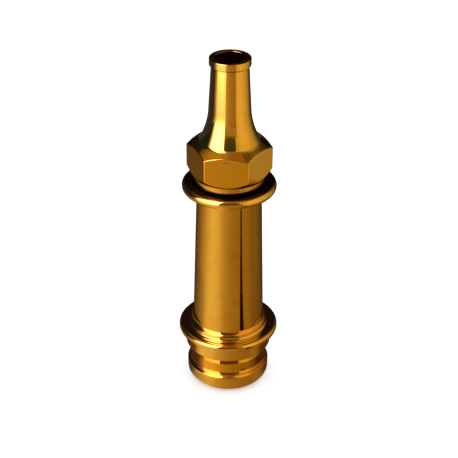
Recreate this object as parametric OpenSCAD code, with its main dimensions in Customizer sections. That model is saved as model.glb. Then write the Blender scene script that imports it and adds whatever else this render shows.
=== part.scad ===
// Fire hose branch pipe with screw-on smooth-bore nozzle tip.
// Origin: centre of the open inlet face. +Z runs up the waterway to the outlet.
// Everything is turned about Z except the hexagon on the nozzle tip.

/* [Overall] */
// Height from the inlet face to the outlet lip
overall_h = 281; // [270:1:300]

/* [Inlet coupling] */
// Radius of the nose ring that enters the female coupling
nose_r = 33.25; // [33:0.05:33.5]
// Height of the nose ring
nose_h = 14.8; // [13:0.1:15.5]
// Radius of the rounded lower edge of the nose
nose_round = 8; // [5:0.5:8.5]
// Radius of the floor of the locking groove
groove_r = 29.9; // [29.4:0.1:30.2]
// Height of the lower edge of the collar above the inlet face
collar_z = 33.2; // [32.5:0.1:34]
// Radius of the collar at its lower edge
collar_r1 = 34.4; // [34:0.1:34.8]
// Radius of the collar where it meets the flange
collar_r2 = 35.7; // [35:0.1:36]
// Radius of the coupling flange
flange_r = 40; // [39:0.1:41]
// Height of the underside of the coupling flange
flange_z = 44.9; // [44.5:0.1:45.3]
// Thickness of the coupling flange
flange_t = 6.4; // [6.2:0.1:6.6]
// Radius of the waterway through the coupling
inlet_bore_r = 24.2; // [23.5:0.1:24.6]

/* [Barrel] */
// Outer radius of the barrel just above its foot
barrel_r1 = 28.4; // [27.8:0.1:28.5]
// Outer radius of the barrel under its top flange
barrel_r2 = 25.2; // [24.5:0.1:25.5]
// Radius of the foot of the barrel and of the seat under it
foot_r = 30.5; // [30.2:0.1:30.8]
// Height of the joint between coupling and barrel
joint_z = 54.2; // [54:0.1:54.4]
// Radius of the top flange of the barrel
top_flange_r = 36.5; // [35.5:0.1:37]
// Height of the top face of the top flange
top_flange_z = 180.8; // [180:0.1:181]
// Thickness of the top flange
top_flange_t = 7.4; // [7.2:0.1:8]
// Radius of the waterway at the inlet end of the barrel
barrel_bore_r1 = 24.2; // [23.6:0.1:24.4]
// Radius of the waterway at the outlet end of the barrel
barrel_bore_r2 = 20.4; // [19.8:0.1:20.6]

/* [Nozzle tip] */
// Radius to the corners of the hexagon
hex_r = 33; // [32.6:0.1:33.4]
// Turn of the hexagon about the axis, degrees
hex_turn = 4.8; // [0:0.2:60]
// Height of the lower end of the round collar under the hexagon
tip_z = 183; // [182.6:0.1:183.4]
// Radius of the round collar under the hexagon
tip_collar_r = 28.2; // [27.4:0.1:28.2]
// Height of the top of the round collar under the hexagon
tip_collar_z = 187.7; // [187:0.1:188.4]
// Height of the upper ends of the corners of the hexagon
hex_top_z = 209.8; // [209:0.1:210.5]
// Radius of the neck at its top, under the lip
neck_r1 = 14.1; // [13.8:0.1:14.4]
// Radius of the neck where the flare starts
neck_r2 = 16.1; // [15.8:0.1:16.4]
// Height at which the neck starts to flare
flare_z = 240; // [238:1:242]
// Radius of curvature of the flare
flare_rho = 56.5; // [54:0.5:60]
// Radius of the lip
lip_r = 15.6; // [15.4:0.05:15.9]
// Height of the lip band
lip_h = 5.6; // [5:0.1:6]
// Radius of the outlet bore
outlet_r = 12; // [11:0.1:12.2]
// Height at which the waterway stops converging
throat_z = 243; // [240:1:246]

/* [Joint between tip and barrel] */
// Outer radius of the thread on the barrel, and 0.05 less than the thread chamber of the tip
spigot_r = 24; // [23.8:0.05:24.05]
// Height of the end of the thread on the barrel
spigot_z = 203.2; // [202.8:0.1:203.4]
// Thickness of the sealing washer in the tip
washer_t = 3; // [2.8:0.1:3.2]

/* [Joint between barrel and coupling] */
// Radius of the thread on the inlet end of the barrel
tail_r = 27.6; // [27.2:0.05:27.7]
// Height of the inlet end of the barrel
tail_z = 38.5; // [38.2:0.1:39]
// Thickness of the sealing washer in the coupling
coupling_washer_t = 2.5; // [2:0.1:2.8]

/* [Hidden] */
$fn = 128;

brass = [0.80, 0.56, 0.20];
flange_round = 3.05;
top_round = 3.5;
// end of the arc on the nose ring's lower edge, and the seat that its tangent reaches
nose_arc = 58;
nose_ar = nose_r - nose_round + nose_round * cos(nose_arc);
nose_az = nose_round * (1 - sin(nose_arc));
nose_seat_r = nose_ar - nose_az * tan(nose_arc);
edge = 0.5;
lip_z = overall_h - lip_h;
chamber_r = spigot_r + 0.05;
washer_z = spigot_z + 0.05;
shoulder_z = washer_z + washer_t + 0.05;
flange_top = flange_z + flange_t;
socket_z = tail_z - coupling_washer_t;
step_rho = 4.5;
foot_h = 0.9;
foot_rho = 4.8;
foot_edge = 0.3;
barrel_z = joint_z + foot_h + 3.9;
slope = (neck_r2 - neck_r1) / (lip_z - flare_z);
flare_a = atan(slope);
flare_cr = neck_r2 + flare_rho * cos(flare_a);
flare_cz = flare_z + flare_rho * sin(flare_a);

// ring section between two radii and two heights
module band(r1, r2, z1, z2) {
    translate([r1, z1]) square([r2 - r1, z2 - z1]);
}

// section of a flange with fully rounded edges
module flange_section(r, z1, z2, rr) {
    band(10, r - rr, z1, z2);
    band(10, r, z1 + rr, z2 - rr);
    translate([r - rr, z1 + rr]) circle(rr);
    translate([r - rr, z2 - rr]) circle(rr);
}

// male inlet coupling: nose ring, locking groove, collar, flange and stepped seat
module coupling_section() {
    difference() {
        union() {
            // nose ring with a seat on its end face and a rounded lower edge
            polygon([[10, 0], [nose_seat_r, 0], [nose_ar, nose_az], [nose_ar, nose_round], [10, nose_round]]);
            band(10, nose_ar, nose_round - 0.1, nose_h);
            band(10, nose_r, nose_round, nose_h - 0.8);
            band(10, nose_r - 0.8, nose_round, nose_h);
            translate([nose_r - nose_round, nose_round]) circle(nose_round);
            translate([nose_r - 0.8, nose_h - 0.8]) circle(0.8);
            // bevel and narrow step above the nose ring
            polygon([[10, nose_h - 1], [nose_r - 0.95, nose_h], [groove_r + 1.6, nose_h + 1.4],
                     [groove_r + 1.6, nose_h + 2.2], [10, nose_h + 2.2]]);
            // floor of the groove, flared down to the step
            difference() {
                band(10, groove_r + 1.6, nose_h + 2.2, nose_h + 6.7);
                translate([groove_r + 7.2, nose_h + 6.7]) circle(7.2);
            }
            band(10, groove_r, nose_h + 6.6, 26.5);
            polygon([[10, 26.5], [groove_r, 26.5], [groove_r - 1.7, 30], [groove_r - 1.7, collar_z + 1], [10, collar_z + 1]]);
            // tapered collar
            polygon([[10, collar_z], [collar_r1 - edge, collar_z], [collar_r1, collar_z + edge],
                     [collar_r2, flange_z + 0.5], [10, flange_z + 0.5]]);
            flange_section(flange_r, flange_z, flange_top, flange_round);
            // seat for the foot of the barrel, hollowed down to the flange
            difference() {
                band(10, foot_r + 2, flange_top - 1, joint_z);
                translate([foot_r + step_rho, joint_z]) circle(step_rho);
            }
        }
        // waterway, with a rounded mouth, and the threaded socket for the barrel
        band(0, inlet_bore_r, -1, joint_z + 1);
        polygon([[0, -1], [inlet_bore_r + 1.8, -1], [inlet_bore_r + 0.8, 0], [inlet_bore_r, 0.8], [0, 0.8]]);
        band(0, tail_r + 0.1, socket_z, joint_z + 1);
    }
}

module inlet_coupling() {
    color(brass) rotate_extrude() coupling_section();
}

// fibre washer at the bottom of the socket
module coupling_washer() {
    color([0.42, 0.27, 0.20]) translate([0, 0, socket_z]) difference() {
        cylinder(h = coupling_washer_t, r = tail_r - 0.1);
        translate([0, 0, -1]) cylinder(h = coupling_washer_t + 2, r = inlet_bore_r + 0.3);
    }
}

// tapered barrel with a coved foot, a top flange and a thread at each end
module barrel_section() {
    difference() {
        union() {
            // thread into the coupling
            polygon([[10, tail_z], [tail_r - 1, tail_z], [tail_r, tail_z + 1], [tail_r, joint_z - 2.4],
                     [tail_r - 1, joint_z - 1.6], [tail_r - 1, joint_z + 0.5], [10, joint_z + 0.5]]);
            // foot
            band(10, foot_r, joint_z, joint_z + foot_h - foot_edge);
            band(10, foot_r - foot_edge, joint_z, joint_z + foot_h);
            translate([foot_r - foot_edge, joint_z + foot_h - foot_edge]) circle(foot_edge);
            difference() {
                band(10, foot_r - foot_edge, joint_z + foot_h - 0.1, barrel_z);
                translate([barrel_r1 + foot_rho, barrel_z]) circle(foot_rho);
            }
            // tapered wall
            polygon([[10, barrel_z - 0.1], [barrel_r1, barrel_z - 0.1], [barrel_r1, barrel_z],
                     [barrel_r2, top_flange_z - top_flange_t], [barrel_r2, top_flange_z - 1], [10, top_flange_z - 1]]);
            // fillet under the top flange
            difference() {
                band(10, barrel_r2 + 2.5, top_flange_z - top_flange_t - 2.5, top_flange_z - top_flange_t + 0.2);
                translate([barrel_r2 + 2.6, top_flange_z - top_flange_t - 2.5]) circle(2.5);
            }
            flange_section(top_flange_r, top_flange_z - top_flange_t, top_flange_z, top_round);
            // thread for the nozzle tip, with a relief at its root
            polygon([[10, top_flange_z - 1], [spigot_r - 1.2, top_flange_z - 1], [spigot_r - 1.2, top_flange_z + 1.6],
                     [spigot_r, top_flange_z + 2.8], [spigot_r, spigot_z - 1.2], [spigot_r - 1.2, spigot_z], [10, spigot_z]]);
        }
        // tapered waterway
        polygon([[0, tail_z - 1], [barrel_bore_r1, tail_z - 1], [barrel_bore_r1, tail_z],
                 [barrel_bore_r2, spigot_z], [barrel_bore_r2, spigot_z + 1], [0, spigot_z + 1]]);
    }
}

module barrel() {
    color(brass) rotate_extrude() barrel_section();
}

// leather washer held in the tip above its thread
module tip_washer() {
    color([0.36, 0.20, 0.12]) translate([0, 0, washer_z]) difference() {
        cylinder(h = washer_t, r = chamber_r - 0.2);
        translate([0, 0, -1]) cylinder(h = washer_t + 2, r = barrel_bore_r2 + 0.2);
    }
}

// round envelope of the hexagon: collar, lower bevel and upper cone up to the flare
module hex_envelope_section() {
    polygon([[5, tip_z], [tip_collar_r - 0.4, tip_z], [tip_collar_r, tip_z + 0.4], [tip_collar_r, tip_collar_z],
             [hex_r + 1, tip_collar_z + hex_r + 1 - tip_collar_r],
             [hex_r + 1, hex_top_z - tan(30)],
             [5, hex_top_z + (hex_r - 5) * tan(30)]]);
}

// neck and lip, turned
module neck_section() {
    // flare
    difference() {
        band(5, 26, 211, flare_z);
        translate([flare_cr, flare_cz]) circle(flare_rho, $fn = 360);
    }
    // straight taper of the neck
    polygon([[5, flare_z - 0.01], [neck_r2, flare_z - 0.01], [neck_r2, flare_z], [neck_r1, lip_z], [neck_r1, lip_z + 1], [5, lip_z + 1]]);
    // lip band with rounded edges
    band(5, lip_r - 0.8, lip_z, overall_h);
    band(5, lip_r, lip_z + 0.4, overall_h - 0.8);
    band(5, lip_r - 0.4, lip_z, overall_h - 0.8);
    translate([lip_r - 0.8, overall_h - 0.8]) circle(0.8);
    translate([lip_r - 0.4, lip_z + 0.4]) circle(0.4);
}

// waterway of the tip: thread chamber, cone and throat with a rounded exit
module tip_bore_section() {
    band(0, chamber_r, tip_z - 1, shoulder_z);
    polygon([[0, tip_z - 1], [chamber_r + 2, tip_z - 1], [chamber_r + 1, tip_z], [chamber_r, tip_z + 1], [0, tip_z + 1]]);
    polygon([[0, shoulder_z - 1], [19.8, shoulder_z - 1], [19.8, shoulder_z], [outlet_r, throat_z], [0, throat_z]]);
    band(0, outlet_r, throat_z - 1, overall_h + 1);
    difference() {
        band(0, outlet_r + 1, overall_h - 1, overall_h + 1);
        translate([outlet_r + 1, overall_h - 1]) circle(1);
    }
}

module nozzle_tip() {
    color(brass) difference() {
        union() {
            intersection() {
                translate([0, 0, tip_z - 1]) rotate([0, 0, -hex_turn]) cylinder(h = 60, r = hex_r, $fn = 6);
                rotate_extrude() hex_envelope_section();
            }
            rotate_extrude() neck_section();
            translate([0, 0, tip_z + 0.4]) cylinder(h = 8, r = tip_collar_r);
        }
        rotate_extrude() tip_bore_section();
    }
}

nozzle_tip();
tip_washer();
barrel();
coupling_washer();
inlet_coupling();
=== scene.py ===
# Fire hose branch pipe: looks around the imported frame.
import math
import bpy
import numpy as np
from mathutils import Matrix, Vector


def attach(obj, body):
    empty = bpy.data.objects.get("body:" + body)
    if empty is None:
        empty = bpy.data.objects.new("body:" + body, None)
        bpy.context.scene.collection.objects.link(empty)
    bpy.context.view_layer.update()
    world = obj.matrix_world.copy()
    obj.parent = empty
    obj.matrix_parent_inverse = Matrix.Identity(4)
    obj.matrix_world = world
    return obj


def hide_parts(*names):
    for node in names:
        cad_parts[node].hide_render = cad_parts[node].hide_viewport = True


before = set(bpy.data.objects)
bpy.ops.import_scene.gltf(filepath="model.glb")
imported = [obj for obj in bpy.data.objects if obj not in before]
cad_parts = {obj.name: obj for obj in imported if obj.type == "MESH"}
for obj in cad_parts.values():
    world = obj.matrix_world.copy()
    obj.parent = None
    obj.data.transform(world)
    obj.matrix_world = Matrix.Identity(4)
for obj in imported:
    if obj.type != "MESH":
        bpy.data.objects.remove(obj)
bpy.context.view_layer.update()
scene = bpy.context.scene
MM = 0.001

# ------------------------------------------------------------------ camera
F_PX, PITCH, ROLL, YAW = 1147.39, math.radians(30.491), math.radians(0.435), 0.000741
c, s = math.cos(PITCH), math.sin(PITCH)
fwd, right, up = Vector((0, c, -s)), Vector((1, 0, 0)), Vector((0, s, c))
r2 = math.cos(ROLL) * right + math.sin(ROLL) * up
u2 = -math.sin(ROLL) * right + math.cos(ROLL) * up
f2 = (fwd + YAW * r2).normalized()
r2 = (r2 - YAW * fwd).normalized()
cam_data = bpy.data.cameras.new("camera")
cam_data.sensor_width = 36.0
cam_data.sensor_fit = "HORIZONTAL"
cam_data.lens = F_PX * 36.0 / 458.0
cam_data.clip_start, cam_data.clip_end = 0.02, 50.0
cam = bpy.data.objects.new("camera", cam_data)
scene.collection.objects.link(cam)
cam.matrix_world = Matrix((
    (r2.x, u2.x, -f2.x, -0.57 * MM),
    (r2.y, u2.y, -f2.y, -776.84 * MM),
    (r2.z, u2.z, -f2.z, 594.28 * MM),
    (0, 0, 0, 1)))
scene.camera = cam
scene.view_settings.view_transform = "Standard"
scene.view_settings.look = "None"

# ------------------------------------------------------------------ profiles, in mm


def rounded(pts):
    """Closed outline of (r, z, fillet) corners, or (r, z) points kept as they are, as a smooth run of points."""
    n, out = len(pts), []
    for i, p in enumerate(pts):
        fr = p[2] if len(p) > 2 else 0.0
        b = np.array(p[:2], float)
        if fr <= 0:
            out.append((b, len(p) > 2))
            continue
        a, d = np.array(pts[i - 1][:2], float), np.array(pts[(i + 1) % n][:2], float)
        u, v = (a - b), (d - b)
        lu, lv = np.linalg.norm(u), np.linalg.norm(v)
        u, v = u / lu, v / lv
        ang = math.acos(max(-1.0, min(1.0, float(u @ v))))
        if ang > math.pi - 0.02:
            out.append((b, False))
            continue
        t = min(fr / math.tan(ang / 2), lu * 0.49, lv * 0.49)
        rr = t * math.tan(ang / 2)
        centre = b + (u + v) / np.linalg.norm(u + v) * (rr / math.sin(ang / 2))
        p0, p1 = b + u * t, b + v * t
        a0 = math.atan2(*(p0 - centre)[::-1])
        a1 = math.atan2(*(p1 - centre)[::-1])
        da = (a1 - a0 + math.pi) % (2 * math.pi) - math.pi
        k = max(4, int(abs(da) * (4 + 5 * math.sqrt(rr))))
        for j in range(k + 1):
            q = a0 + da * j / k
            out.append((centre + rr * np.array([math.cos(q), math.sin(q)]), False))
    # long straight runs get close support points at both ends and a few between
    res, m = [], len(out)
    for i in range(m):
        a, b = out[i][0], out[(i + 1) % m][0]
        res.append(a)
        d = float(np.linalg.norm(b - a))
        if d > 0.5:
            e = 0.06 / d
            res.append(a + (b - a) * e)
            k = int(d / 4)
            for j in range(1, k + 1):
                res.append(a + (b - a) * (e + (1 - 2 * e) * j / (k + 1)))
            res.append(b - (b - a) * e)
    return np.array(res)


def arc(cr, cz, rad, a0, a1, k):
    """Points on a circle of the section, angles in degrees from +r towards +z."""
    return [(cr + rad * math.cos(math.radians(a0 + (a1 - a0) * j / k)),
             cz + rad * math.sin(math.radians(a0 + (a1 - a0) * j / k))) for j in range(k + 1)]


def grid_mesh(name, rings, closed=True):
    """rings: (n rings, m columns, 3) in mm. Joins them into one smooth closed surface."""
    n, m = rings.shape[:2]
    me = bpy.data.meshes.new(name)
    i = np.arange(n if closed else n - 1)[:, None]
    j = np.arange(m)[None, :]
    a = i * m + j
    b = i * m + (j + 1) % m
    cc = ((i + 1) % n) * m + (j + 1) % m
    d = ((i + 1) % n) * m + j
    faces = np.stack([a, b, cc, d], -1).reshape(-1, 4)
    me.from_pydata((rings.reshape(-1, 3) * MM).tolist(), [], faces.tolist())
    me.polygons.foreach_set("use_smooth", np.ones(len(me.polygons), bool))
    me.update()
    ob = bpy.data.objects.new(name, me)
    scene.collection.objects.link(ob)
    return ob


def lathe(name, outline, cols=240):
    th = np.arange(cols) * 2 * math.pi / cols
    r, z = outline[:, 0:1], outline[:, 1:2]
    rings = np.stack([r * np.cos(th), r * np.sin(th), z + 0 * th], -1)
    return grid_mesh(name, rings)


# ------------------------------------------------------------------ inlet coupling
coupling_outline = rounded(
    [(24.2, 0.8, 0.5), (25.0, 0.0, 0.4), (27.54, 0.0, 0.5)]
    + arc(25.25, 8.0, 8.0, -58.0, 0.0, 22)
    + [(33.25, 14.8, 0.8), (31.5, 16.2, 0.35), (31.5, 17.02, 0.2)]
    + arc(37.1, 21.5, 7.2, 218.2, 180.0, 16)
    + [(29.9, 26.5, 1.2), (28.2, 30.0, 1.2), (28.2, 33.2, 0.7), (34.4, 33.2, 0.5), (35.7, 44.9, 0.7),
       (36.95, 44.9)] + arc(36.95, 47.95, 3.05, -86.0, 0.0, 18) + arc(36.95, 48.25, 3.05, 0.0, 88.0, 18)
    + [(36.75, 51.3), (31.7, 51.3, 0.0)]
    + arc(35.0, 54.2, 4.5, 219.2, 181.5, 14)
    + [(30.5, 54.2, 0.14), (27.7, 54.2, 0.2), (27.7, 36.0, 0.2), (24.2, 36.0, 0.3)])
coupling = lathe("inlet_coupling_turned", coupling_outline)

# ------------------------------------------------------------------ barrel, with its outlet thread
THREAD_Z0, THREAD_Z1, LEAD = 183.0, 203.2, 25.4 / 11
barrel_outline = rounded(
    [(24.2, 38.5, 0.3), (27.6, 38.5, 1.0), (27.6, 51.6, 0.4), (26.6, 52.6, 0.3), (26.6, 54.2, 0.1), (30.5, 54.2, 0.14),
     (30.5, 55.1, 0.3), (30.4, 55.1, 0.0)]
    + arc(33.2, 59.0, 4.8, 233.8, 181.0, 16)
    + [(28.39, 59.2), (25.2, 173.4, 2.5), (36.5, 173.4, 3.5), (36.5, 180.8, 3.5), (22.8, 180.8, 0.5), (22.8, 182.4, 0.3),
       (23.98, 183.6, 0.3), (23.98, 202.0, 0.3), (22.8, 203.2, 0.3), (20.4, 203.2, 0.4)])
dense = []
for i in range(len(barrel_outline)):
    a, b = barrel_outline[i], barrel_outline[(i + 1) % len(barrel_outline)]
    dense.append(a)
    if a[0] > 22.7 and b[0] > 22.7 and 182.9 < a[1] < 203.3 and abs(b[1] - a[1]) > 0.15 and a[0] < 24.1:
        k = int(abs(b[1] - a[1]) / 0.14)
        for j in range(1, k + 1):
            dense.append(a + (b - a) * j / (k + 1))
barrel_outline = np.array(dense)
COLS = 240
th = np.arange(COLS) * 2 * math.pi / COLS
r = np.repeat(barrel_outline[:, 0:1], COLS, 1)
z = np.repeat(barrel_outline[:, 1:2], COLS, 1)
on = (r > 22.75) & (r < 24.1) & (z > THREAD_Z0) & (z < THREAD_Z1)
phase = (z / LEAD - th[None, :] / (2 * math.pi)) % 1.0
tri = np.abs(phase - 0.5) * 2
tooth = np.clip((tri - 0.14) / 0.72, 0, 1)
tooth = tooth * tooth * (3 - 2 * tooth)
fade = np.clip((z - THREAD_Z0) / 1.6, 0, 1) * np.clip((THREAD_Z1 - z) / 0.7, 0, 1)
floor_r = np.minimum(r, 22.72 + 0 * r)
r = np.where(on, r - (r - floor_r) * (1 - tooth) * fade, r)
barrel = grid_mesh("barrel_turned", np.stack([r * np.cos(th), r * np.sin(th), z], -1))

# ------------------------------------------------------------------ nozzle tip
HEX_TURN = math.radians(-4.8)
HEX_R, AF2 = 33.0, 33.0 * math.cos(math.pi / 6)
offs = np.concatenate([np.linspace(-30, -27.2, 13)[:-1], np.linspace(-27.2, 27.2, 29), np.linspace(27.2, 30, 13)[1:-1]])
th_tip = np.concatenate([math.radians(60) * k + np.radians(offs) for k in range(6)]) + HEX_TURN + math.radians(30)


def smin(a, b, k):
    h = np.clip(k - np.abs(a - b), 0, None) / k
    return np.minimum(a, b) - h * h * k / 4


def smax(a, b, k):
    return -smin(-a, -b, k)


def flare(zz):
    return 72.51 - np.sqrt(np.clip(56.5 ** 2 - (zz - 243.2) ** 2, 0, None))


def hexagon(t):
    rel = (t - HEX_TURN - math.radians(30) + math.radians(30)) % math.radians(60) - math.radians(30)
    a = AF2 / np.cos(rel)
    b = AF2 / np.cos(np.abs(rel) - math.radians(60))
    return smin(a, b, 0.6)


zs = np.concatenate([np.linspace(183.5, 187.0, 6)[:-1], np.linspace(187.0, 194.4, 45)[:-1], np.linspace(194.4, 208.2, 14)[:-1],
                     np.linspace(208.2, 218.0, 71)[:-1], np.linspace(218.0, 239.4, 28)])
zc = zs[:, None]
low = smax(28.2 + 0 * zc, 28.2 + (zc - 187.7), 0.5)
cone = HEX_R - (zc - 209.8) * math.sqrt(3)
body = smin(hexagon(th_tip)[None, :], smin(low, cone, 0.5), 0.55)
R_out = smax(body, np.broadcast_to(flare(zc), body.shape), 1.6)
R_out = np.where(zc < 209, body, R_out)
outer = np.stack([R_out * np.cos(th_tip), R_out * np.sin(th_tip), zc + 0 * R_out], -1)
rest = rounded(
    [(16.1, 240.0), (14.1, 275.4, 0.45), (15.6, 275.4, 0.4), (15.6, 281.0, 0.6), (12.0, 281.0, 0.8), (12.0, 243.0, 6.0),
     (19.8, 206.3, 0.3), (24.05, 206.3, 0.3), (24.05, 184.0, 0.3), (25.05, 183.0, 0.15), (28.2, 183.0, 0.42), (28.2, 183.5)])
# drop the run that the closing side of the outline adds between the last and the first point
last = np.where((np.abs(rest[:, 0] - 28.2) < 1e-6) & (np.abs(rest[:, 1] - 183.5) < 1e-6))[0][0]
rest = rest[:last]
lower = np.stack([rest[:, 0:1] * np.cos(th_tip), rest[:, 0:1] * np.sin(th_tip), rest[:, 1:2] + 0 * th_tip], -1)
tip = grid_mesh("nozzle_tip_machined", np.concatenate([outer, lower]))

# ------------------------------------------------------------------ washers
rng = np.random.default_rng(7)
leather = lathe("tip_washer_leather", rounded(
    [(20.6, 203.25, 0.5), (23.85, 203.25, 0.5), (23.85, 206.25, 0.5), (20.6, 206.25, 0.5)]), 160)
rubber = lathe("coupling_washer_rubber", rounded(
    [(24.5, 36.0, 0.4), (27.5, 36.0, 0.4), (27.5, 38.5, 0.4), (24.5, 38.5, 0.4)]), 160)

# ------------------------------------------------------------------ materials


def new_mat(name):
    m = bpy.data.materials.new(name)
    m.use_nodes = True
    nt = m.node_tree
    for nd in list(nt.nodes):
        nt.nodes.remove(nd)
    out = nt.nodes.new("ShaderNodeOutputMaterial")
    return m, nt, out


def math_node(nt, op, a, b=None, clamp=False):
    nd = nt.nodes.new("ShaderNodeMath")
    nd.operation = op
    nd.use_clamp = clamp
    for i, v in enumerate((a, b)):
        if v is None:
            continue
        if isinstance(v, (int, float)):
            nd.inputs[i].default_value = v
        else:
            nt.links.new(v, nd.inputs[i])
    return nd.outputs[0]


def mapped(nt, vec, scale, loc=(0, 0, 0), rot=(0, 0, 0)):
    nd = nt.nodes.new("ShaderNodeMapping")
    nd.inputs["Scale"].default_value = scale
    nd.inputs["Location"].default_value = loc
    nd.inputs["Rotation"].default_value = rot
    nt.links.new(vec, nd.inputs["Vector"])
    return nd.outputs[0]


def noise(nt, vec, scale, detail=3.0, rough=0.5):
    nd = nt.nodes.new("ShaderNodeTexNoise")
    nd.inputs["Scale"].default_value = scale
    nd.inputs["Detail"].default_value = detail
    nd.inputs["Roughness"].default_value = rough
    nt.links.new(vec, nd.inputs["Vector"])
    return nd.outputs["Fac"]


def span(nt, v, a, b, c0, c1, smooth=True):
    nd = nt.nodes.new("ShaderNodeMapRange")
    nd.interpolation_type = "SMOOTHSTEP" if smooth else "LINEAR"
    nd.clamp = True
    for k, x in zip(("From Min", "From Max", "To Min", "To Max"), (a, b, c0, c1)):
        nd.inputs[k].default_value = x
    nt.links.new(v, nd.inputs["Value"])
    return nd.outputs["Result"]


def mix_col(nt, fac, a, b):
    nd = nt.nodes.new("ShaderNodeMix")
    nd.data_type = "RGBA"
    nt.links.new(fac, nd.inputs["Factor"])
    for key, v in (("A", a), ("B", b)):
        sock = [x for x in nd.inputs if x.name == key and x.type == "RGBA"][0]
        if isinstance(v, tuple):
            sock.default_value = (*v, 1.0)
        else:
            nt.links.new(v, sock)
    return [x for x in nd.outputs if x.type == "RGBA"][0]


def band(nt, z, z0, z1, soft):
    """1 between the heights z0 and z1 (mm), fading over soft mm outside them."""
    return math_node(nt, "MULTIPLY", span(nt, z, (z0 - soft) * MM, z0 * MM, 0.0, 1.0), span(nt, z, z1 * MM, (z1 + soft) * MM, 1.0, 0.0))


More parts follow.
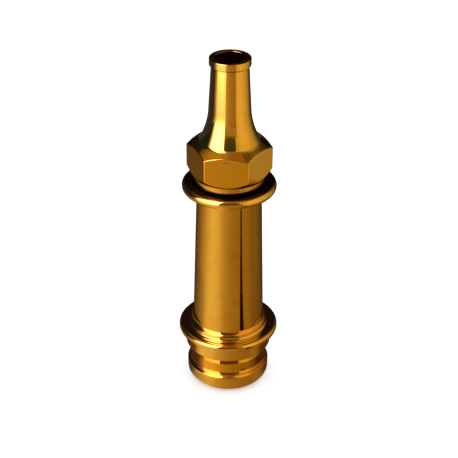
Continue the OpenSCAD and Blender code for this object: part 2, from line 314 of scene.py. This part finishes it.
def brass(name, shift, base=(0.86, 0.415, 0.052), seams=(), tone_and_highlight_bands=(), shade_bands=(), side_shade=(), lined=1.0, wavy=1.0):
    """Polished brass: fine turning lines round the axis, buffing haze, faint scratches, dulled and darkened rings at
    the seams (tarnish, and painted shade where a seam lies under the outlet lip), near-black bands of painted shade and
    painted shade on one side.
    """
    m, nt, out = new_mat(name)
    tc = nt.nodes.new("ShaderNodeTexCoord").outputs["Object"]
    sep = nt.nodes.new("ShaderNodeSeparateXYZ")
    nt.links.new(tc, sep.inputs[0])
    # turning and buffing lines: long round the axis, short along it
    lines = noise(nt, mapped(nt, tc, (9, 9, 2600), loc=(shift, 0, 0)), 1.0, 4.0, 0.65)
    wide = noise(nt, mapped(nt, tc, (14, 14, 420), loc=(0, shift, 0)), 1.0, 2.0, 0.5)
    haze = noise(nt, mapped(nt, tc, (30, 30, 18), loc=(0, 0, shift)), 1.0, 3.0, 0.55)
    spots = noise(nt, mapped(nt, tc, (90, 90, 90), loc=(shift, shift, 0)), 1.0, 2.0, 0.6)
    scr_a = noise(nt, mapped(nt, tc, (2200, 60, 120), rot=(0.3, 0.5, 0.4)), 1.0, 1.0, 0.5)
    scr_b = noise(nt, mapped(nt, tc, (70, 1900, 90), rot=(0.9, 0.2, 1.1)), 1.0, 1.0, 0.5)
    scratch = math_node(nt, "MAXIMUM", span(nt, scr_a, 0.70, 0.78, 0, 1), span(nt, scr_b, 0.71, 0.79, 0, 1))
    # roughness
    rough = math_node(nt, "ADD", span(nt, haze, 0.35, 0.75, 0.035, 0.085), span(nt, lines, 0.3, 0.8, 0.0, 0.03 * lined))
    rough = math_node(nt, "ADD", rough, span(nt, spots, 0.62, 0.80, 0.0, 0.05))
    rough = math_node(nt, "ADD", rough, math_node(nt, "MULTIPLY", scratch, 0.05))
    dull_and_shade = None
    for zc_, w in seams:
        d = math_node(nt, "ABSOLUTE", math_node(nt, "SUBTRACT", sep.outputs["Z"], zc_ * MM))
        ring = span(nt, d, 0.0, w * MM, 1.0, 0.0)
        dull_and_shade = ring if dull_and_shade is None else math_node(nt, "MAXIMUM", dull_and_shade, ring)
    if dull_and_shade is not None:
        dull_and_shade = math_node(nt, "MULTIPLY", dull_and_shade, span(nt, spots, 0.25, 0.7, 0.35, 1.0))
        rough = math_node(nt, "ADD", rough, math_node(nt, "MULTIPLY", dull_and_shade, 0.16))
    # colour
    warm = tuple(x * y for x, y in zip(base, (0.97, 0.90, 0.72)))
    col = mix_col(nt, span(nt, haze, 0.3, 0.75, 0.0, 1.0), base, warm)
    pale = tuple(min(1.0, x * y) for x, y in zip(base, (1.03, 1.08, 1.25)))
    col = mix_col(nt, span(nt, wide, 0.45, 0.75, 0.0, 0.6 * lined), col, pale)
    # faint upright polishing streaks and warm finger smudges
    streak = noise(nt, mapped(nt, tc, (210, 210, 4), loc=(shift, 0, shift)), 1.0, 3.0, 0.6)
    col = mix_col(nt, span(nt, streak, 0.38, 0.72, 0.0, 0.55), col, tuple(x * y for x, y in zip(base, (0.93, 0.86, 0.70))))
    smudge = noise(nt, mapped(nt, tc, (85, 85, 60), loc=(0, 0, 2 * shift)), 1.0, 4.0, 0.62)
    col = mix_col(nt, span(nt, smudge, 0.50, 0.74, 0.0, 0.7), col, tuple(x * y for x, y in zip(base, (0.88, 0.72, 0.55))))
    rough = math_node(nt, "ADD", rough, span(nt, smudge, 0.50, 0.74, 0.0, 0.035))
    # zones with a deeper, redder tone, or a paler, bluer one that whitens what it reflects (a painted highlight)
    for z0, z1, soft, tone, amount in tone_and_highlight_bands:
        zone = math_node(nt, "MULTIPLY", band(nt, sep.outputs["Z"], z0, z1, soft), span(nt, haze, 0.15, 0.6, 0.75 * amount, amount))
        col = mix_col(nt, zone, col, tuple(x * y for x, y in zip(base, tone)))
    # the seam rings darken: tarnish, and painted shade for the ring under the outlet lip
    if dull_and_shade is not None:
        tarnish_and_shade = tuple(x * y for x, y in zip(base, (0.42, 0.34, 0.30)))
        col = mix_col(nt, dull_and_shade, col, tarnish_and_shade)
    # painted shade that sits on one side only, darkening the reflection there: heights, then from where across (mm) it
    # fades in
    for z0, z1, axis, x0, x1, tone in side_shade:
        zone = math_node(nt, "MULTIPLY", band(nt, sep.outputs["Z"], z0, z1, 1.2), span(nt, sep.outputs[axis], x0 * MM, x1 * MM, 0.0, 1.0))
        zone = math_node(nt, "MULTIPLY", zone, span(nt, haze, 0.2, 0.5, 0.85, 1.0))
        col = mix_col(nt, zone, col, tuple(x * y for x, y in zip(base, tone)))
        rough = math_node(nt, "ADD", rough, math_node(nt, "MULTIPLY", zone, 0.06))
    # near-black bands of painted shade, in gaps between parts and in the crease under the outlet lip
    for z0, z1, soft, amount in shade_bands:
        zone = math_node(nt, "MULTIPLY", band(nt, sep.outputs["Z"], z0, z1, soft), span(nt, spots, 0.2, 0.5, 0.85 * amount, amount))
        col = mix_col(nt, zone, col, (0.030, 0.013, 0.006))
        rough = math_node(nt, "ADD", rough, math_node(nt, "MULTIPLY", zone, 0.3))
    bump = nt.nodes.new("ShaderNodeBump")
    bump.inputs["Strength"].default_value = 0.28
    bump.inputs["Distance"].default_value = 0.000012
    height = math_node(nt, "MULTIPLY", math_node(nt, "ADD", lines, math_node(nt, "MULTIPLY", wide, 1.2)), lined)
    height = math_node(nt, "SUBTRACT", height, math_node(nt, "MULTIPLY", scratch, 1.5))
    nt.links.new(height, bump.inputs["Height"])
    soft = nt.nodes.new("ShaderNodeBump")
    soft.inputs["Strength"].default_value = 0.25 * wavy
    soft.inputs["Distance"].default_value = 0.0002
    wave = noise(nt, mapped(nt, tc, (55, 55, 22), loc=(0, shift, shift)), 1.0, 1.0, 0.4)
    nt.links.new(wave, soft.inputs["Height"])
    nt.links.new(soft.outputs[0], bump.inputs["Normal"])
    p = nt.nodes.new("ShaderNodeBsdfPrincipled")
    p.inputs["Metallic"].default_value = 1.0
    nt.links.new(col, p.inputs["Base Color"])
    nt.links.new(rough, p.inputs["Roughness"])
    nt.links.new(bump.outputs[0], p.inputs["Normal"])
    nt.links.new(p.outputs[0], out.inputs["Surface"])
    return m


def organic(name, dark, light, scale, rough, height):
    m, nt, out = new_mat(name)
    tc = nt.nodes.new("ShaderNodeTexCoord").outputs["Object"]
    a = noise(nt, mapped(nt, tc, (scale, scale, scale)), 1.0, 5.0, 0.6)
    b = noise(nt, mapped(nt, tc, (scale * 4, scale * 4, scale * 4)), 1.0, 2.0, 0.5)
    col = mix_col(nt, span(nt, a, 0.3, 0.7, 0, 1), dark, light)
    p = nt.nodes.new("ShaderNodeBsdfPrincipled")
    nt.links.new(col, p.inputs["Base Color"])
    nt.links.new(span(nt, b, 0.3, 0.7, rough - 0.1, rough + 0.1), p.inputs["Roughness"])
    bump = nt.nodes.new("ShaderNodeBump")
    bump.inputs["Strength"].default_value = 0.5
    bump.inputs["Distance"].default_value = height
    nt.links.new(math_node(nt, "ADD", a, b), bump.inputs["Height"])
    nt.links.new(bump.outputs[0], p.inputs["Normal"])
    nt.links.new(p.outputs[0], out.inputs["Surface"])
    return m


# tip: the seam ring and near-black band under the outlet lip, the near-black band at the bottom step and the one-sided
# band at the back of the lip's rim are painted shade
brass_tip = brass("brass_tip", 3.1, seams=((275.1, 1.2), (188.0, 0.6)), tone_and_highlight_bands=((186.5, 209.0, 2.5, (0.97, 0.86, 0.42), 1.0),),
                  shade_bands=((182.9, 183.25, 0.25, 1.0), (274.9, 275.5, 0.35, 1.0)), side_shade=((280.2, 281.2, "Y", 2.0, 6.5, (0.42, 0.26, 0.2)),), wavy=1.8)
# barrel: the near-black band on the upper flange's top and the neck under the tip is painted shade
brass_barrel = brass("brass_barrel", 11.7, seams=((54.2, 0.5), (173.4, 1.0)), tone_and_highlight_bands=((54.9, 58.2, 0.8, (1.0, 0.74, 0.6), 1.0),),
                    shade_bands=((180.65, 184.0, 0.25, 1.0),), lined=0.4)
# coupling: the thin paler, bluer band on the flange's flat top face is a painted highlight; the one-sided bands on the
# sides of the groove and on the left of the nose ring are painted shade
brass_coupling = brass("brass_coupling", 23.9, seams=((54.2, 0.5), (33.3, 0.9), (44.9, 0.9), (16.6, 0.6)),
                       tone_and_highlight_bands=((15.0, 33.0, 1.0, (1.0, 0.80, 0.36), 1.0), (51.27, 51.5, 0.08, (1.05, 1.45, 3.4), 1.0)),
                       side_shade=((15.2, 32.6, "X", 14.5, 21.0, (0.62, 0.42, 0.22)), (15.2, 32.6, "X", -18.5, -21.0, (0.52, 0.36, 0.30)),
                               (-2.0, 12.5, "X", -14.0, -28.0, (0.35, 0.34, 0.30))))
leather_mat = organic("washer_leather", (0.05, 0.024, 0.012), (0.17, 0.085, 0.04), 600, 0.62, 0.0001)
rubber_mat = organic("washer_rubber", (0.010, 0.010, 0.010), (0.022, 0.021, 0.020), 900, 0.72, 0.00005)

for ob, mat, body_name, node, slot in (
        (tip, brass_tip, "tip", "nozzle_tip", "tip_brass"),
        (leather, leather_mat, "washer", "tip_washer", "washer_leather"),
        (barrel, brass_barrel, "branch", "barrel", "barrel_brass"),
        (rubber, rubber_mat, "branch", "coupling_washer", "washer_rubber"),
        (coupling, brass_coupling, "branch", "inlet_coupling", "coupling_brass")):
    ob.data.materials.append(mat)
    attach(ob, body_name)
    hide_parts(node)

# ------------------------------------------------------------------ stage: floor, backdrop and reflectors


def emission(name, build):
    m, nt, out = new_mat(name)
    e = nt.nodes.new("ShaderNodeEmission")
    build(nt, e)
    nt.links.new(e.outputs[0], out.inputs["Surface"])
    return m


def ramp(nt, fac, stops):
    nd = nt.nodes.new("ShaderNodeValToRGB")
    cr = nd.color_ramp
    while len(cr.elements) > 1:
        cr.elements.remove(cr.elements[-1])
    cr.elements[0].position = stops[0][0]
    cr.elements[0].color = (*stops[0][1], 1)
    for p_, c_ in stops[1:]:
        e = cr.elements.new(p_)
        e.color = (*c_, 1)
    nt.links.new(fac, nd.inputs[0])
    return nd.outputs[0]


def plane_mesh(name, verts, faces, mat):
    me = bpy.data.meshes.new(name)
    me.from_pydata(verts, [], faces)
    me.materials.append(mat)
    ob = bpy.data.objects.new(name, me)
    scene.collection.objects.link(ob)
    return ob


floor_mat, nt, out = new_mat("floor_white")
tc = nt.nodes.new("ShaderNodeTexCoord").outputs["Object"]
p = nt.nodes.new("ShaderNodeBsdfPrincipled")
fc = mix_col(nt, noise(nt, mapped(nt, tc, (3, 3, 3)), 1.0, 2.0, 0.5), (0.50, 0.50, 0.498), (0.515, 0.515, 0.515))
nt.links.new(fc, p.inputs["Base Color"])
p.inputs["Roughness"].default_value = 0.7
p.inputs["Emission Color"].default_value = (1.0, 1.0, 1.0, 1.0)
p.inputs["Emission Strength"].default_value = 0.42
nt.links.new(p.outputs[0], out.inputs["Surface"])
S = 2.6
floor = plane_mesh("floor", [(-S, -S, 0), (S, -S, 0), (S, S, 0), (-S, S, 0)], [(0, 1, 2, 3)], floor_mat)
floor.visible_glossy = False

# pale wall all round, far away, seen by the camera only
back_mat = emission("backdrop_white", lambda nt_, e: (
    setattr(e.inputs["Color"], "default_value", (0.99, 0.99, 0.99, 1)), setattr(e.inputs["Strength"], "default_value", 1.0)))
n_b = 48
bv, bf = [], []
for k, (rad, hz) in enumerate(((2.45, -0.002), (3.6, 1.2), (3.6, 3.2), (0.01, 5.2))):
    for j in range(n_b):
        a = 2 * math.pi * j / n_b
        bv.append((rad * math.cos(a), rad * math.sin(a), hz))
for k in range(3):
    for j in range(n_b):
        bf.append((k * n_b + j, k * n_b + (j + 1) % n_b, (k + 1) * n_b + (j + 1) % n_b, (k + 1) * n_b + j))
backdrop = plane_mesh("backdrop", bv, bf, back_mat)
for flag in ("visible_glossy", "visible_shadow", "visible_transmission"):
    setattr(backdrop, flag, False)


def glossy_only(ob):
    ob.visible_camera = False
    ob.visible_diffuse = False
    ob.visible_shadow = False
    ob.visible_transmission = False


# azimuth is measured from the front (-Y), positive towards +X
FLOOR_L = [(-180, .06), (-160, .06), (-145, .07), (-127, .15), (-113, .26), (-102, .38), (-92, .50), (-82, .64), (-73, .77),
           (-65, .85), (-57, .90), (-43, .87), (-35, .82), (-28, .73), (-21, .63), (-14, .55), (-8, .49), (0, .44), (6, .41),
           (13, .385), (26, .35), (37.5, .32), (44, .32), (55, .345), (63, .33), (80, .27), (99, .24), (110, .20)]
FLOOR_R = [(122, .15), (139, .08), (150, .07), (163, .06), (180, .06)]


STRIP_AZ, STRIP_W, STRIP_NEAR = 40.4, 0.0135, 0.080


def tint(l, az):
    warm_ = min(1.0, max(0.0, (l - 0.3) / 0.5))
    return (l, l * (0.77 + 0.22 * warm_), l * (0.30 + 0.42 * warm_))


def floor_build(nt_, e):
    t = nt_.nodes.new("ShaderNodeTexCoord").outputs["Object"]
    sp = nt_.nodes.new("ShaderNodeSeparateXYZ")
    nt_.links.new(t, sp.inputs[0])
    neg = math_node(nt_, "MULTIPLY", sp.outputs["Y"], -1.0)
    az = math_node(nt_, "ARCTAN2", sp.outputs["X"], neg)
    fac = math_node(nt_, "ADD", math_node(nt_, "DIVIDE", az, 2 * math.pi), 0.5)
    stops = [((a + 180) / 360, tint(l, a)) for a, l in FLOOR_L]
    low_ = ramp(nt_, fac, stops)
    high_ = ramp(nt_, fac, [((a + 180) / 360, tint(l, a)) for a, l in FLOOR_R])
    col = mix_col(nt_, math_node(nt_, "GREATER_THAN", fac, (116 + 180) / 360), low_, high_)
    # the far floor behind on the left falls off into the dark
    far_l = math_node(nt_, "MULTIPLY", span(nt_, sp.outputs["X"], -0.58, -0.28, 1.0, 0.0), span(nt_, sp.outputs["Y"], -0.06, 0.06, 0.0, 1.0))
    col = mix_col(nt_, far_l, col, (0.035, 0.055, 0.13))
    # close to the foot, on both sides, the floor is in the object's own shade
    rad = math_node(nt_, "SQRT", math_node(nt_, "ADD", math_node(nt_, "MULTIPLY", sp.outputs["X"], sp.outputs["X"]), math_node(nt_, "MULTIPLY", neg, neg)))
    side_az = span(nt_, math_node(nt_, "ABSOLUTE", az), math.radians(64), math.radians(88), 0.0, 1.0)
    near = math_node(nt_, "MULTIPLY", side_az, math_node(nt_, "MAXIMUM", span(nt_, rad, 0.098, 0.130, 0.85, 0.0), span(nt_, rad, 0.12, 0.24, 0.24, 0.0)))
    col = mix_col(nt_, near, col, (0.06, 0.028, 0.012))
    # a dark, straight strip lying on the floor, seen as the thin line down the barrel
    ca_, sa_ = math.cos(math.radians(STRIP_AZ)), math.sin(math.radians(STRIP_AZ))
    along = math_node(nt_, "ADD", math_node(nt_, "MULTIPLY", sp.outputs["X"], sa_), math_node(nt_, "MULTIPLY", neg, ca_))
    across = math_node(nt_, "ABSOLUTE", math_node(nt_, "SUBTRACT", math_node(nt_, "MULTIPLY", sp.outputs["X"], ca_), math_node(nt_, "MULTIPLY", neg, sa_)))
    strip = math_node(nt_, "MULTIPLY", span(nt_, across, STRIP_W * 0.85, STRIP_W * 1.15, 1.0, 0.0), math_node(nt_, "MULTIPLY", span(nt_, along, STRIP_NEAR, STRIP_NEAR + 0.012, 0.0, 1.0), span(nt_, along, 0.375, 0.385, 1.0, 0.0)))
    col = mix_col(nt_, strip, col, (0.022, 0.004, 0.0))
    nt_.links.new(col, e.inputs["Color"])


floor_ref = plane_mesh("floor_reflection", [(4 * math.cos(a), 4 * math.sin(a), -0.0004) for a in np.linspace(0, 2 * math.pi, 65)[:-1]],
                       [tuple(range(64))], emission("floor_reflection", floor_build))
glossy_only(floor_ref)


def card(name, dist, az0, az1, z0, z1, prof_az, prof_z, colour):
    """Curved reflector card standing round the object; its glow follows prof_az (degrees) times prof_z (metres)."""
    def build(nt_, e):
        t = nt_.nodes.new("ShaderNodeTexCoord").outputs["Object"]
        sp = nt_.nodes.new("ShaderNodeSeparateXYZ")
        nt_.links.new(t, sp.inputs[0])
        neg = math_node(nt_, "MULTIPLY", sp.outputs["Y"], -1.0)
        mid = math.radians((az0 + az1) / 2)
        # turn so that the card's middle is at azimuth zero
        xx = math_node(nt_, "SUBTRACT", math_node(nt_, "MULTIPLY", sp.outputs["X"], math.cos(mid)), math_node(nt_, "MULTIPLY", neg, math.sin(mid)))
        yy = math_node(nt_, "ADD", math_node(nt_, "MULTIPLY", sp.outputs["X"], math.sin(mid)), math_node(nt_, "MULTIPLY", neg, math.cos(mid)))
        az = math_node(nt_, "ARCTAN2", xx, yy)
        half = math.radians((az1 - az0) / 2)
        fac = math_node(nt_, "ADD", math_node(nt_, "DIVIDE", az, 2 * half), 0.5)
        ca = ramp(nt_, fac, [((a - az0) / (az1 - az0), (l, l, l)) for a, l in prof_az])
        fz = math_node(nt_, "DIVIDE", math_node(nt_, "SUBTRACT", sp.outputs["Z"], z0), z1 - z0)
        peak = max(l for _, l in prof_z)
        cz = ramp(nt_, fz, [((zz - z0) / (z1 - z0), (l / peak,) * 3) for zz, l in prof_z])
        st = math_node(nt_, "MULTIPLY", math_node(nt_, "MULTIPLY", ca, cz), peak)
        e.inputs["Color"].default_value = (*colour, 1)
        nt_.links.new(st, e.inputs["Strength"])
    k = 48
    vs, fs = [], []
    for j in range(k + 1):
        a = math.radians(az0 + (az1 - az0) * j / k)
        vs += [(dist * math.sin(a), -dist * math.cos(a), z0), (dist * math.sin(a), -dist * math.cos(a), z1)]
    for j in range(k):
        fs.append((2 * j, 2 * j + 2, 2 * j + 3, 2 * j + 1))
    ob = plane_mesh(name, vs, fs, emission(name, build))
    glossy_only(ob)
    return ob


card("card_left_low", 0.40, -98, -22.5, 0.0, 0.15,
     [(-98, .0), (-93, .06), (-85, .17), (-79, .32), (-74, .62), (-66, .9), (-53, 1.0), (-41, 1.0), (-30, .9), (-22.5, .85)],
     [(0.0, 1.5), (0.1, 1.6), (0.125, 1.9), (0.15, 2.6)], (0.95, 1.0, 1.45))
card("card_left_high", 0.40, -90, -22.5, 0.15, 1.35,
     [(-90, .0), (-84, .03), (-79, .15), (-74.5, .58), (-69, .9), (-53, 1.0), (-41, 1.0), (-30, .9), (-22.5, .85)],
     [(0.15, 2.6), (0.2, 4.4), (0.3, 6.0), (1.0, 5.5), (1.35, 2.0)], (0.93, 1.0, 1.8))
card("card_right", 0.35, 31, 150, 0.010, 1.2,
     [(31, .8), (36, .86), (47, 1.0), (59, 1.0), (72, .94), (86, .80), (101, .62), (112, .50), (121, .26), (135, .08), (150, .0)],
     [(0.010, .84), (0.3, .9), (0.62, .88), (0.8, .35), (1.2, .25)], (1.0, 0.95, 0.55))
card("card_right_edge", 0.35, 24.5, 31.1, 0.28, 1.2,
     [(24.5, .6), (26, .8), (31.1, .8)],
     [(0.28, .88), (0.3, .9), (1.2, .6)], (1.0, 0.95, 0.7))
card("card_front_low", 0.30, -22.5, 31.0, 0.094, 0.128,
     [(-22.5, 1.0), (31.0, 1.0)], [(0.094, .0), (0.098, 1.0), (0.128, 1.0)], (0.17, 0.055, 0.006))

# ------------------------------------------------------------------ world: a dark room with a dim ceiling
world = bpy.data.worlds.new("room")
scene.world = world
world.use_nodes = True
wt = world.node_tree
for nd in list(wt.nodes):
    wt.nodes.remove(nd)
wo = wt.nodes.new("ShaderNodeOutputWorld")
bg = wt.nodes.new("ShaderNodeBackground")
wt.links.new(bg.outputs[0], wo.inputs["Surface"])
wtc = wt.nodes.new("ShaderNodeTexCoord").outputs["Generated"]
wsp = wt.nodes.new("ShaderNodeSeparateXYZ")
wt.links.new(wtc, wsp.inputs[0])
up_f = span(wt, wsp.outputs["Z"], 0.62, 0.93, 0.0, 1.0)
side = span(wt, wsp.outputs["X"], -0.25, 0.1, 1.0, 0.0)
top_col = mix_col(wt, side, (0.33, 0.21, 0.07), (0.52, 0.40, 0.13))
front = span(wt, wsp.outputs["Y"], -0.9, -0.3, 1.0, 0.0)
half_z = math_node(wt, "MULTIPLY", math_node(wt, "ADD", wsp.outputs["Z"], 1.0), 0.5)
front_col = ramp(wt, half_z, [(0.50, (0.42, 0.37, 0.25)), (0.56, (0.40, 0.34, 0.20)), (0.605, (0.10, 0.10, 0.05)),
                              (0.66, (0.07, 0.11, 0.09)), (0.74, (0.045, 0.08, 0.09)), (0.82, (0.064, 0.107, 0.17)), (1.0, (0.064, 0.107, 0.17))])
sides = span(wt, math_node(wt, "ABSOLUTE", wsp.outputs["X"]), 0.35, 0.7, 0.0, 1.0)
dark = mix_col(wt, front, mix_col(wt, sides, (0.014, 0.007, 0.010), (0.014, 0.034, 0.080)), front_col)
wcol = mix_col(wt, up_f, dark, top_col)
wt.links.new(wcol, bg.inputs["Color"])

# ------------------------------------------------------------------ soft lights for the floor


def area(name, loc, size, power, look=(0, 0, 0.05)):
    ld = bpy.data.lights.new(name, "AREA")
    ld.shape = "RECTANGLE"
    ld.size, ld.size_y = size
    ld.energy = power
    ob = bpy.data.objects.new(name, ld)
    ob.location = loc
    ob.rotation_euler = (Vector(look) - Vector(loc)).to_track_quat("-Z", "Y").to_euler()
    scene.collection.objects.link(ob)
    ob.visible_glossy = False
    return ob


area("light_top", (0.0, 0.3, 2.6), (3.4, 3.4), 66)
area("light_left", (-1.9, -1.4, 1.8), (1.6, 1.6), 11)
area("light_right", (1.9, -0.9, 1.8), (1.6, 1.6), 8)
